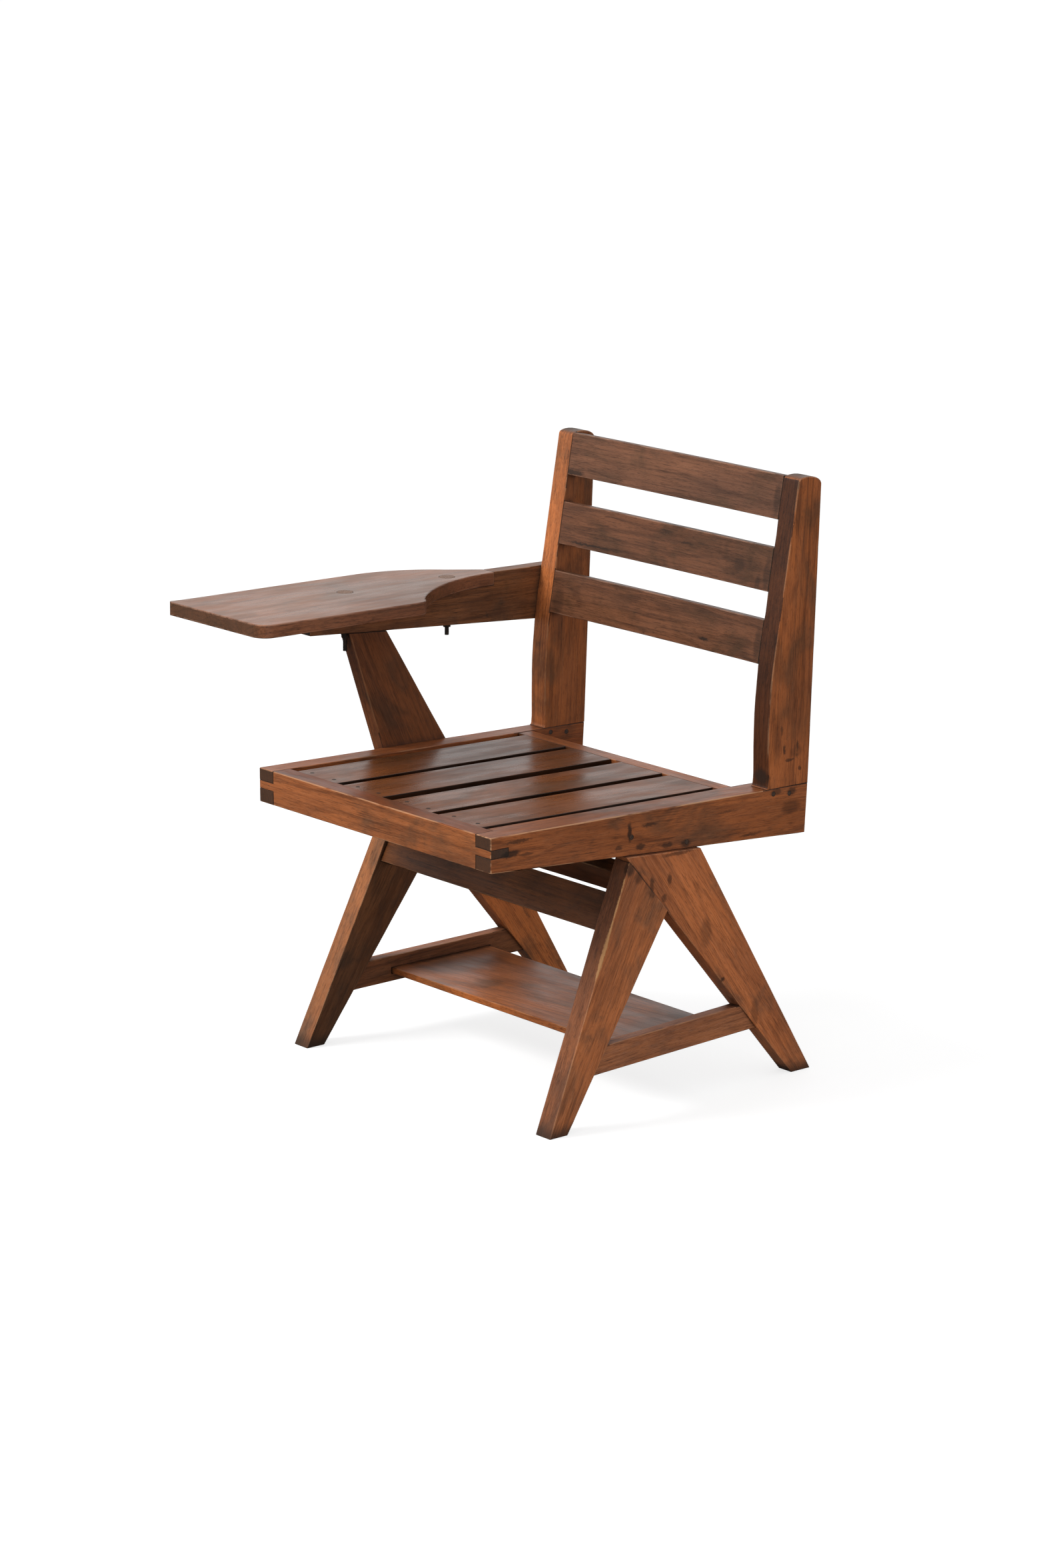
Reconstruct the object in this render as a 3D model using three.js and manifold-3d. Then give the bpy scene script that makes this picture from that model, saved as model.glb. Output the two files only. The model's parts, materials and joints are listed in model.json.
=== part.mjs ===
// A student desk chair: a slatted wooden seat and back on two pairs of crossed legs, with a book
// shelf between the side stretchers and a writing tablet on the sitter's right.
//
// Millimetres, +Z up, the floor at Z = 0. The sitter faces -Y, so +X is the sitter's left. While the
// pieces are made, X = 0 is the middle plane of the seat; the last lines move the whole chair so that
// its origin is the middle of its bounding box, on the floor.

import * as THREE from 'three';
import { mergeVertices } from 'three/addons/utils/BufferGeometryUtils.js';
import Module from 'manifold-3d';

const wasm = await Module();
wasm.setup();

// ---------------------------------------------------------------- driving dimensions

const GAP = 0.3; // free space between two pieces that touch
const OVERSHOOT = 1; // how far a cutter reaches past the face that it opens

const SEAT_HALF_WIDTH = 251.2; // to the outer faces of the side rails
const SIDE_RAIL_THICKNESS = 31.2;
const RAIL_INNER = SEAT_HALF_WIDTH - SIDE_RAIL_THICKNESS;
const LEFT_RAIL_INNER = 206; // behind the front rail, the left side rail is the thicker one
const SEAT_FRONT = -273;
const SIDE_RAIL_END_TOP = 279.5;
const SIDE_RAIL_END_BOTTOM = 275;
const railTop = (y) => 407.8 - 0.027 * y;
const railBottom = (y) => 349.9 - 0.0645 * y;

const FRONT_RAIL = { back: SEAT_FRONT + 29, tenonLow: 387, tenonHigh: 398 };
const REAR_RAIL = { front: 157.5, back: 182.5, bottom: 360, tenonLength: 14, tenonShoulder: 4 };

// The two sides of each seat slat, from the sitter's right to the left.
const SLAT_SIDES = [[-204.5, -115.5], [-102.5, -17], [4.5, 90], [104.5, 194.5]];
const SLAT_THICKNESS = 18;
const SLAT_DROP = 0.6; // the slats lie this far below the side rails
const CLEAT = { depth: 20, height: 20 };
const NAIL = {
  headRadius: 2.6, headHeight: 1.2, radius: 1.3, length: 28, fromEnd: 11, fromEdge: 20, sunk: 0.1,
};

const POST_FOOT_FRONT = 206.8;
const POST_FOOT_BACK = 282;
const POST_BEND_START = 458; // below this height the front edge is upright
const POST_BEND_END = 590; // above it the front edge leans back
const LEAN = 0.175; // how far the back leans for each millimetre of height
const POST_TENON = { front: 209.5, back: 268, inner: 230, outer: 241.5, depth: 28 };
const PEG_RADIUS = 3.3;
const POST_PEGS = { front: [217, 395], rear: [246, 391.5] }; // Y and Z of their middles
const LEG_PEGS = { front: [-34.5, 377], rear: [62, 354.5] };

const POST_HEAD = { height: 817, top: 822.5, roundBack: 811, back: 299 };
const BACK_SLAT = { height: 60, thickness: 18, bow: 6, pitch: 98, lowest: -20.7 };
const BACK_TENON = { length: 15, inset: 4, shoulder: 8 };

const LEG_REFERENCE = 350; // height at which the upper leg sizes are given
const FRONT_LEG = {
  footFront: -199.4, footBack: -169, topFront: -41.8, topBack: 74.9,
  thickness: 30.3, footOuter: 280.5, topOuter: 258,
};
const REAR_LEG = {
  footFront: 244.2, footBack: 278.8, topFront: -47.3, topBack: 77.9,
  thickness: 25.9, footOuter: 262.9, topOuter: 258,
};
const LAP_AT_TOP = 240; // the plane that parts the two halves of the crossed joint
const LAP_SPLAY = 0.035;
const LAP_CUT_TOP = 400; // the cutters of that joint end above the legs
const FRONT_LEG_TENON = { front: -39.5, back: 5, inner: 229.5, outer: 238, height: 33 };
const REAR_LEG_TENON = { front: 25, back: 70, inner: 241.5, outer: 247.2, height: 16 };

const STRETCHER = { thickness: 18, height: 37, middle: 255.6, middleY: 17.5, turn: 0.0389, housing: 14 };
const stretcherTop = (y) => 108.3 + 0.0217 * y;
const SHELF = { front: -48.3, back: 121, low: 81.6, high: 90.9, groove: 8, endRoom: 2 };
const SHELF_RISE = 0.0154; // its heights are those at Y = 0, and it rises this much towards the back

const CROSS_RAIL = { thickness: 20, height: 52.6 };
const FRONT_CROSS = { y: -68.8, z: 277.8, halfLength: 240.5 };
const REAR_CROSS = { y: 13.5, z: 275.4, halfLength: 238 };

const ARM_THICKNESS = 24;
const ARM_OUTER = SEAT_HALF_WIDTH + ARM_THICKNESS;
const ARM = { front: -183, back: 285, top: 632.5, backTop: 629.5, step: 139.5 };
const armBottom = (y) => 555.4 - 0.074 * (y - 212);
const TABLET_THICKNESS = 19;
const TABLET_SLOPE = 0.013; // the tablet rises this much for each millimetre towards the front
const TABLET = {
  front: -344, outer: -356.5, inner: -143, outerStraightEnd: -30, innerStraightEnd: -78,
  outerRadius: 190, outerTurn: 0.733, innerRadius: 256, innerTurn: 0.878,
  cornerNear: 22, cornerFar: 4, cornerWaist: 14, tongueInner: -249.5, tongueOuter: -276.5,
};
const SUPPORT = {
  low: 356, frontAtRail: -60.4, frontSlope: 0.326, backAtRail: 51.8, backSlope: 0.606,
  frontHeight: 411.5, backHeight: 405.6, // the heights at which its front and back edges are given
};
const SUPPORT_TENON = { front: -98, back: -70, inner: 257, outer: 269, height: 18 };

const BOLT = { x: -263.2, front: -114, rear: 64.8, radius: 3, headRadius: 6, headHeight: 4.7, tip: -63.5 };
const NUT = { radius: 5.8, heights: { front: 7, rear: 3.5 }, hole: 3.35 };
const PLUG = { radius: 10.9, thickness: 5.7 };
const COACH_SCREW = { headRadius: 8, headHeight: 4.5, radius: 3.5, length: 50 };
const ARM_SCREWS = { upper: [256, 611], lower: [256, 576] };
const SUPPORT_SCREWS = { front: [-18, 396], rear: [34, 381] };

// ---------------------------------------------------------------- materials

const wood = (color, roughness) => new THREE.MeshStandardMaterial({ color, roughness, metalness: 0 });
const FRAME_WOOD = wood(0x7a4526, 0.45);
const SEAT_WOOD = wood(0x7f6150, 0.38);
const BACK_WOOD = wood(0x6b4534, 0.45);
const LEG_WOOD = wood(0x774428, 0.5);
const SHELF_WOOD = wood(0x6e4b3a, 0.45);
const TABLET_WOOD = wood(0x8f7263, 0.4);
const PLUG_WOOD = wood(0x40291d, 0.6);
const STEEL = new THREE.MeshStandardMaterial({ color: 0x2c2a28, roughness: 0.5, metalness: 0.9 });

// ---------------------------------------------------------------- shapes and joins

function box([x0, x1], [y0, y1], [z0, z1]) {
  const geometry = new THREE.BoxGeometry(x1 - x0, y1 - y0, z1 - z0);
  return geometry.translate((x0 + x1) / 2, (y0 + y1) / 2, (z0 + z1) / 2);
}

// A board whose outline is drawn in the Y-Z plane, between two X values.
function sideBoard(outline, x0, x1) {
  const points = Array.isArray(outline) && outline.map(([y, z]) => new THREE.Vector2(y, z));
  const shape = points ? new THREE.Shape(points) : outline;
  const settings = { depth: x1 - x0, bevelEnabled: false, curveSegments: 6 };
  const geometry = new THREE.ExtrudeGeometry(shape, settings);
  const turn = new THREE.Matrix4().set(0, 0, 1, x0, 1, 0, 0, 0, 0, 1, 0, 0, 0, 0, 0, 1);
  return geometry.applyMatrix4(turn);
}

// A board whose outline is drawn in the X-Y plane, between two Z values.
function flatBoard(shape, z0, z1, curveSegments) {
  const geometry = new THREE.ExtrudeGeometry(shape, { depth: z1 - z0, bevelEnabled: false, curveSegments });
  return geometry.translate(0, 0, z0);
}

// A round or many-sided bar along X or Z, given by its centre line's fixed coordinates and its ends.
function barAlongX(radius, y, z, x0, x1, sides = 16) {
  const bar = new THREE.CylinderGeometry(radius, radius, x1 - x0, sides).rotateZ(Math.PI / 2);
  return bar.translate((x0 + x1) / 2, y, z);
}
function barAlongZ(radius, x, y, z0, z1, sides = 16) {
  const bar = new THREE.CylinderGeometry(radius, radius, z1 - z0, sides).rotateX(Math.PI / 2);
  return bar.translate(x, y, (z0 + z1) / 2);
}

function toSolid(geometry) {
  const bare = geometry.clone();
  bare.deleteAttribute('normal');
  bare.deleteAttribute('uv');
  const merged = mergeVertices(bare);
  const mesh = new wasm.Mesh({
    numProp: 3,
    vertProperties: new Float32Array(merged.attributes.position.array),
    triVerts: new Uint32Array(merged.index.array),
  });
  return new wasm.Manifold(mesh);
}

function toGeometry(solid) {
  const { vertProperties, triVerts } = solid.getMesh();
  const geometry = new THREE.BufferGeometry();
  geometry.setAttribute('position', new THREE.BufferAttribute(vertProperties, 3));
  geometry.setIndex(new THREE.BufferAttribute(triVerts, 1));
  geometry.computeVertexNormals();
  return geometry;
}

function cut(geometry, ...tools) {
  return toGeometry(tools.reduce((solid, tool) => solid.subtract(toSolid(tool)), toSolid(geometry)));
}
function join(geometry, ...parts) {
  return toGeometry(parts.reduce((solid, part) => solid.add(toSolid(part)), toSolid(geometry)));
}

// The same piece for the other side of the chair.
function mirrored(geometry) {
  const other = toGeometry(toSolid(geometry));
  other.scale(-1, 1, 1);
  const index = other.index.array;
  for (let i = 0; i < index.length; i += 3) [index[i], index[i + 1]] = [index[i + 1], index[i]];
  other.computeVertexNormals();
  return other;
}
const onSide = (geometry, sign) => (sign > 0 ? geometry : mirrored(geometry));
const SIDES = [['left', 1], ['right', -1]];

const placed = (geometry, frame) => geometry.clone().applyMatrix4(frame.matrix);

function makeFrame(y, z, turnAboutX) {
  const frame = new THREE.Group();
  frame.position.set(0, y, z);
  frame.rotation.x = turnAboutX;
  frame.updateMatrix();
  return frame;
}

const chair = new THREE.Group();
function add(name, geometry, material, parent = chair) {
  const mesh = new THREE.Mesh(geometry, material);
  mesh.name = name;
  parent.add(mesh);
  return mesh;
}

// Frames of the pieces that don't stand square: the leaning back, the two rails across the legs and
// the tablet. In each, +Y points through the board's thickness and +Z up its face.
const leanAngle = Math.atan(LEAN);
const postLeanStart = POST_FOOT_FRONT + (LEAN / 2) * (POST_BEND_END - POST_BEND_START);
const backFrame = makeFrame(postLeanStart, POST_BEND_END, -leanAngle);
const legAngle = (leg) => Math.atan((leg.topFront - leg.footFront) / LEG_REFERENCE);
const frontCrossFrame = makeFrame(FRONT_CROSS.y, FRONT_CROSS.z, -legAngle(FRONT_LEG));
const rearCrossFrame = makeFrame(REAR_CROSS.y, REAR_CROSS.z, -legAngle(REAR_LEG));
const tabletFrame = makeFrame(ARM.step, ARM.top - TABLET_THICKNESS, -TABLET_SLOPE);
chair.add(backFrame, frontCrossFrame, rearCrossFrame, tabletFrame);

// ---------------------------------------------------------------- seat frame

// A tenon that stands on a slanted edge of a board: its outline in Y-Z, between heights measured
// from that edge.
function tenonOutline(edge, y0, y1, low, high, grow) {
  return [
    [y0 - grow, edge(y0) + low - grow], [y1 + grow, edge(y1) + low - grow],
    [y1 + grow, edge(y1) + high + grow], [y0 - grow, edge(y0) + high + grow],
  ];
}

function postTenon(grow) {
  const { front, back, inner, outer, depth } = POST_TENON;
  const outline = tenonOutline(railTop, front, back, -depth, OVERSHOOT, grow);
  return sideBoard(outline, inner - grow, outer + grow);
}

function legTenon({ front, back, inner, outer, height }, grow) {
  const outline = tenonOutline(railBottom, front, back, -OVERSHOOT, height, grow);
  return sideBoard(outline, inner - grow, outer + grow);
}

function rearRailTenon(grow, inner) {
  const { front, back, bottom, tenonLength, tenonShoulder } = REAR_RAIL;
  const low = bottom + tenonShoulder;
  const high = railTop(back) - 2 * tenonShoulder;
  return box(
    [inner - OVERSHOOT, inner + tenonLength + grow],
    [front + tenonShoulder - grow, back - tenonShoulder + grow], [low - grow, high + grow],
  );
}

// A peg right through the side rail, or its hole, which reaches a little past both faces.
const pegBar = ([y, z], grow) => {
  const inset = 0.2;
  const reach = inset - 2 * grow;
  return barAlongX(PEG_RADIUS + grow, y, z, RAIL_INNER + reach, SEAT_HALF_WIDTH - reach);
};
const pegHoles = (places) => Object.values(places).map((place) => pegBar(place, GAP));

// The side rail is forked at the front, where the front rail's tenon passes through it. Behind the
// front rail its inner face may stand further in.
function sideRail(inner) {
  const outline = (front) => [
    [front, railBottom(front)], [SIDE_RAIL_END_BOTTOM, railBottom(SIDE_RAIL_END_BOTTOM)],
    [SIDE_RAIL_END_TOP, railTop(SIDE_RAIL_END_TOP)], [front, railTop(front)],
  ];
  const full = sideBoard(outline(SEAT_FRONT), RAIL_INNER, SEAT_HALF_WIDTH);
  const board = join(full, sideBoard(outline(FRONT_RAIL.back + GAP), inner, SEAT_HALF_WIDTH));
  const fork = box(
    [RAIL_INNER - OVERSHOOT, SEAT_HALF_WIDTH + OVERSHOOT], [SEAT_FRONT - OVERSHOOT, FRONT_RAIL.back + GAP],
    [FRONT_RAIL.tenonLow - GAP, FRONT_RAIL.tenonHigh + GAP],
  );
  const legMortises = [legTenon(FRONT_LEG_TENON, GAP), legTenon(REAR_LEG_TENON, GAP)];
  const holes = [...pegHoles(POST_PEGS), ...pegHoles(LEG_PEGS)];
  return cut(board, fork, postTenon(GAP), rearRailTenon(GAP, inner), ...legMortises, ...holes);
}

function frontRail() {
  const { back, tenonLow, tenonHigh } = FRONT_RAIL;
  const body = sideBoard([
    [SEAT_FRONT, railBottom(SEAT_FRONT)], [back, railBottom(back)],
    [back, railTop(back)], [SEAT_FRONT, railTop(SEAT_FRONT)],
  ], -RAIL_INNER + GAP, RAIL_INNER - GAP);
  return join(body, box([-SEAT_HALF_WIDTH, SEAT_HALF_WIDTH], [SEAT_FRONT, back], [tenonLow, tenonHigh]));
}

function rearRail() {
  const { front, back, bottom } = REAR_RAIL;
  const body = sideBoard([
    [front, bottom], [back, bottom], [back, railTop(back) - SLAT_DROP], [front, railTop(front) - SLAT_DROP],
  ], -RAIL_INNER + GAP, LEFT_RAIL_INNER - GAP);
  return join(body, rearRailTenon(0, LEFT_RAIL_INNER), mirrored(rearRailTenon(0, RAIL_INNER)));
}

// ---------------------------------------------------------------- seat slats

const slatTop = (y) => railTop(y) - SLAT_DROP;
const slatBottom = (y) => slatTop(y) - SLAT_THICKNESS;
const slatFront = FRONT_RAIL.back + GAP;
const slatBack = REAR_RAIL.front - GAP;

// The two nails of a slat, near its front end, driven into the cleat below.
function nailPlaces([x0, x1]) {
  const y = slatFront + NAIL.fromEnd;
  return [['a', x0 + NAIL.fromEdge, y], ['b', x1 - NAIL.fromEdge, y]];
}

// A nail or its hole: a shank with a flat head that lies a hair below the slat's surface.
function nail([, x, y], grow) {
  const { headRadius, headHeight, radius, length, sunk } = NAIL;
  const top = grow ? OVERSHOOT : -sunk;
  const profile = [
    [0, -length - grow], [radius + grow, -length - grow], [radius + grow, -headHeight - grow],
    [headRadius + grow, -headHeight - grow], [headRadius + grow, top], [0, top],
  ].map(([r, z]) => new THREE.Vector2(r, z));
  return new THREE.LatheGeometry(profile, 8).rotateX(Math.PI / 2).translate(x, y, slatTop(y));
}

function seatSlat(sides) {
  const outline = [
    [slatFront, slatBottom(slatFront)], [slatBack, slatBottom(slatBack)],
    [slatBack, slatTop(slatBack)], [slatFront, slatTop(slatFront)],
  ];
  return cut(sideBoard(outline, ...sides), ...nailPlaces(sides).map((place) => nail(place, GAP)));
}

// A ledger strip under the slats' ends, on the inner face of the front or rear rail.
function cleat(y0) {
  const y1 = y0 + CLEAT.depth;
  const top = (y) => slatBottom(y) - GAP;
  return sideBoard([
    [y0, top(y0) - CLEAT.height], [y1, top(y1) - CLEAT.height], [y1, top(y1)], [y0, top(y0)],
  ], -RAIL_INNER + GAP, LEFT_RAIL_INNER - GAP);
}

// ---------------------------------------------------------------- back

// The post's outline from the side: an upright foot, a soft bend, a leaning head with a rounded top.
function postOutline() {
  const base = (y) => railTop(y) + GAP;
  const { height, top, roundBack, back } = POST_HEAD;
  const headFront = postLeanStart + LEAN * (height - POST_BEND_END);
  const footBack = POST_FOOT_BACK - 2;
  const heel = { length: 4, height: 5 }; // the foot's front edge spreads a little over the rail
  const outline = new THREE.Shape();
  outline.moveTo(footBack, base(footBack));
  outline.lineTo(back, roundBack);
  outline.quadraticCurveTo(back - 3, top - 1.5, back - 23, top);
  outline.quadraticCurveTo(headFront + 1.5, top + 0.5, headFront, height);
  outline.lineTo(postLeanStart, POST_BEND_END);
  outline.quadraticCurveTo(
    POST_FOOT_FRONT, (POST_BEND_START + POST_BEND_END) / 2, POST_FOOT_FRONT, POST_BEND_START,
  );
  outline.lineTo(POST_FOOT_FRONT, base(POST_FOOT_FRONT) + heel.height);
  const toe = POST_FOOT_FRONT - heel.length;
  outline.quadraticCurveTo(POST_FOOT_FRONT, base(POST_FOOT_FRONT), toe, base(toe));
  return outline;
}

const backSlatBottom = (row) => BACK_SLAT.lowest + row * BACK_SLAT.pitch;

function backSlatTenon(row, grow) {
  const { length, inset, shoulder } = BACK_TENON;
  const low = backSlatBottom(row) + shoulder;
  const high = backSlatBottom(row) + BACK_SLAT.height - shoulder;
  return box(
    [RAIL_INNER - 5, RAIL_INNER + length + grow],
    [inset - grow, BACK_SLAT.thickness - inset + grow], [low - grow, high + grow],
  );
}

function backPost() {
  const post = join(sideBoard(postOutline(), RAIL_INNER, SEAT_HALF_WIDTH), postTenon(0));
  const mortises = [0, 1, 2].map((row) => placed(backSlatTenon(row, GAP), backFrame));
  return cut(post, ...mortises, ...pegHoles(POST_PEGS));
}

// A back slat bows gently backwards between the posts.
function backSlat(row) {
  const half = RAIL_INNER - GAP;
  const { thickness, bow, height } = BACK_SLAT;
  const plan = new THREE.Shape();
  plan.moveTo(-half, 0);
  plan.quadraticCurveTo(0, 2 * bow, half, 0);
  plan.lineTo(half, thickness);
  plan.quadraticCurveTo(0, thickness + 2 * bow, -half, thickness);
  const body = flatBoard(plan, backSlatBottom(row), backSlatBottom(row) + height, 12);
  const tenon = backSlatTenon(row, 0);
  return join(body, tenon, mirrored(tenon));
}

// ---------------------------------------------------------------- legs and what joins them

const legFrontAt = (leg, z) => leg.footFront + ((leg.topFront - leg.footFront) * z) / LEG_REFERENCE;
const legBackAt = (leg, z) => leg.footBack + ((leg.topBack - leg.footBack) * z) / LEG_REFERENCE;

// Where a leg's slanted edge meets the underside of the side rail.
function meetRail(edge) {
  let z = LEG_REFERENCE;
  for (let step = 0; step < 20; step += 1) z = railBottom(edge(z)) - GAP;
  return [edge(z), z];
}

function legOutline(leg) {
  const front = (z) => legFrontAt(leg, z);
  const back = (z) => legBackAt(leg, z);
  return [[front(0), 0], [back(0), 0], meetRail(back), meetRail(front)];
}

// A board in the Y-Z plane whose faces lean: x0 and x1 are its faces at the reference height, and it
// spreads as it goes down.
function splayedBoard(outline, x0, x1, splay) {
  const shift = splay * LEG_REFERENCE;
  const lean = new THREE.Matrix4().set(1, 0, -splay, shift, 0, 1, 0, 0, 0, 0, 1, 0, 0, 0, 0, 1);
  return sideBoard(outline, x0, x1).applyMatrix4(lean);
}

function legBlank(leg) {
  const splay = (leg.footOuter - leg.topOuter) / LEG_REFERENCE;
  return splayedBoard(legOutline(leg), leg.topOuter - leg.thickness, leg.topOuter, splay);
}

// The half of the crossed joint that one leg gives up to the other.
function lapCutter(otherLeg, x0, x1) {
  const front = (z) => legFrontAt(otherLeg, z) - GAP;
  const back = (z) => legBackAt(otherLeg, z) + GAP;
  const outline = [
    [front(0), 0], [back(0), 0], [back(LAP_CUT_TOP), LAP_CUT_TOP], [front(LAP_CUT_TOP), LAP_CUT_TOP],
  ];
  return splayedBoard(outline, x0, x1, LAP_SPLAY);
}

const stretcherFrame = new THREE.Group();
stretcherFrame.position.set(STRETCHER.middle, STRETCHER.middleY, 0);
stretcherFrame.rotation.z = STRETCHER.turn;
stretcherFrame.updateMatrix();

function stretcherBlank(grow) {
  const { height, thickness, middleY, housing } = STRETCHER;
  const corner = (edge, rise, reach) => {
    let z = stretcherTop(middleY) + rise;
    for (let step = 0; step < 20; step += 1) z = stretcherTop(edge(z) + reach) + rise;
    return [edge(z) + reach - middleY, z];
  };
  const front = (z) => legBackAt(FRONT_LEG, z);
  const back = (z) => legFrontAt(REAR_LEG, z);
  const reach = housing + grow;
  const outline = [
    corner(front, -height - grow, -reach), corner(back, -height - grow, reach),
    corner(back, grow, reach), corner(front, grow, -reach),
  ];
  return sideBoard(outline, -thickness / 2 - grow, thickness / 2 + grow);
}

function crossRail(halfLength, height0, height1, grow) {
  const x = halfLength + grow;
  return box([-x, x], [-grow, CROSS_RAIL.thickness + grow], [height0 - grow, height1 + grow]);
}
function frontCrossRail(grow) {
  const half = CROSS_RAIL.height / 2;
  return crossRail(FRONT_CROSS.halfLength, -half, half, grow);
}
const rearCrossRail = (grow) => crossRail(REAR_CROSS.halfLength, 0, CROSS_RAIL.height, grow);

// The front leg keeps the inner half where the legs cross, and the rear leg keeps the outer half.
function frontLeg() {
  return cut(
    join(legBlank(FRONT_LEG), legTenon(FRONT_LEG_TENON, 0)),
    lapCutter(REAR_LEG, LAP_AT_TOP - GAP / 2, LAP_AT_TOP + SIDE_RAIL_THICKNESS),
    placed(stretcherBlank(GAP), stretcherFrame),
    placed(frontCrossRail(GAP), frontCrossFrame),
    placed(rearCrossRail(GAP), rearCrossFrame),
    pegBar(LEG_PEGS.front, GAP),
  );
}

function rearLeg() {
  return cut(
    join(legBlank(REAR_LEG), legTenon(REAR_LEG_TENON, 0)),
    lapCutter(FRONT_LEG, LAP_AT_TOP - SIDE_RAIL_THICKNESS, LAP_AT_TOP + GAP / 2),
    placed(stretcherBlank(GAP), stretcherFrame),
    placed(rearCrossRail(GAP), rearCrossFrame),
    pegBar(LEG_PEGS.rear, GAP),
  );
}

// A groove along the stretcher's inner face holds the edge of the shelf.
function sideStretcher() {
  const inner = -STRETCHER.thickness / 2;
  const { front, back, low, high, groove, endRoom } = SHELF;
  const end = (y, z) => [y - STRETCHER.middleY, z + SHELF_RISE * y];
  const outline = [
    end(front - endRoom, low - GAP), end(back + endRoom, low - GAP),
    end(back + endRoom, high + GAP), end(front - endRoom, high + GAP),
  ];
  return cut(stretcherBlank(0), sideBoard(outline, inner - OVERSHOOT, inner + groove + GAP));
}

function bookShelf() {
  const edgeAt = (y) => {
    const middle = STRETCHER.middle - Math.tan(STRETCHER.turn) * (y - STRETCHER.middleY);
    return middle - STRETCHER.thickness / 2 + SHELF.groove;
  };
  const frontEdge = edgeAt(SHELF.front);
  const backEdge = edgeAt(SHELF.back);
  const plan = new THREE.Shape([
    new THREE.Vector2(-frontEdge, SHELF.front), new THREE.Vector2(frontEdge, SHELF.front),
    new THREE.Vector2(backEdge, SHELF.back), new THREE.Vector2(-backEdge, SHELF.back),
  ]);
  const rise = new THREE.Matrix4().set(1, 0, 0, 0, 0, 1, 0, 0, 0, SHELF_RISE, 1, 0, 0, 0, 0, 1);
  return flatBoard(plan, SHELF.low, SHELF.high, 1).applyMatrix4(rise);
}

// ---------------------------------------------------------------- arm and writing tablet

const BOLT_PLACES = { front: BOLT.front - ARM.step, rear: BOLT.rear - ARM.step };
function nutTop(place) {
  const y = BOLT[place];
  const tabletUnderside = ARM.top - TABLET_THICKNESS + TABLET_SLOPE * (ARM.step - y);
  return armBottom(y) - tabletUnderside - GAP;
}

// A bolt or its hole, in the tablet's frame: a round head under the plug, and a shank down past the nut.
function boltBar(place, grow) {
  const y = BOLT_PLACES[place];
  const headTop = TABLET_THICKNESS - PLUG.thickness - 2 * GAP;
  const shank = barAlongZ(BOLT.radius + grow, BOLT.x, y, BOLT.tip - grow, headTop - 1);
  const headLow = headTop - BOLT.headHeight - grow;
  const head = barAlongZ(BOLT.headRadius + grow, BOLT.x, y, headLow, headTop + (grow ? OVERSHOOT : 0));
  return join(shank, head);
}

const plugDisc = (place, grow) => barAlongZ(
  PLUG.radius + grow, BOLT.x, BOLT_PLACES[place], TABLET_THICKNESS - PLUG.thickness - grow,
  TABLET_THICKNESS + (grow ? OVERSHOOT : 0), 24,
);

function nut(place) {
  const y = BOLT_PLACES[place];
  const top = nutTop(place);
  const bottom = top - NUT.heights[place];
  const hexagon = barAlongZ(NUT.radius, BOLT.x, y, bottom, top, 6);
  return cut(hexagon, barAlongZ(NUT.hole, BOLT.x, y, bottom - OVERSHOOT, top + OVERSHOOT));
}

// The tablet's outline: straight front and sides, a round near corner, and two arcs that narrow it
// to a tongue as wide as the arm.
function tabletOutline() {
  const t = TABLET;
  const y = (chairY) => chairY - ARM.step;
  const tongueEnd = -GAP;
  const innerEnd = y(t.innerStraightEnd);
  const outline = new THREE.Shape();
  outline.moveTo(t.outer + t.cornerFar, y(t.front));
  outline.lineTo(t.inner - t.cornerNear, y(t.front));
  outline.absarc(t.inner - t.cornerNear, y(t.front) + t.cornerNear, t.cornerNear, -Math.PI / 2, 0, false);
  outline.lineTo(t.inner, innerEnd);
  outline.quadraticCurveTo(
    t.inner, innerEnd + t.cornerWaist, t.inner - t.cornerWaist, innerEnd + 1.6 * t.cornerWaist,
  );
  const innerCentre = t.tongueInner + t.innerRadius;
  outline.absarc(innerCentre, tongueEnd, t.innerRadius, Math.PI + t.innerTurn, Math.PI, true);
  outline.lineTo(t.tongueOuter, tongueEnd);
  const outerCentre = t.outer + t.outerRadius;
  const outerEnd = y(t.outerStraightEnd);
  outline.absarc(outerCentre, outerEnd, t.outerRadius, Math.PI - t.outerTurn, Math.PI, false);
  outline.lineTo(t.outer, y(t.front) + t.cornerFar);
  const farCorner = [t.outer + t.cornerFar, y(t.front) + t.cornerFar];
  outline.absarc(...farCorner, t.cornerFar, Math.PI, 1.5 * Math.PI, false);
  return outline;
}

function writingTablet() {
  const board = flatBoard(tabletOutline(), GAP, TABLET_THICKNESS, 10);
  const holes = ['front', 'rear'].flatMap((place) => [plugDisc(place, GAP), boltBar(place, GAP)]);
  return cut(board, ...holes);
}

const supportFront = (z) => SUPPORT.frontAtRail + SUPPORT.frontSlope * (SUPPORT.frontHeight - z);
const supportBack = (z) => SUPPORT.backAtRail + SUPPORT.backSlope * (SUPPORT.backHeight - z);

function supportTenon(grow) {
  const { front, back, inner, outer, height } = SUPPORT_TENON;
  const outline = tenonOutline(armBottom, front, back, -2 * OVERSHOOT, height, grow);
  return sideBoard(outline, -outer - grow, -inner + grow);
}

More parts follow.
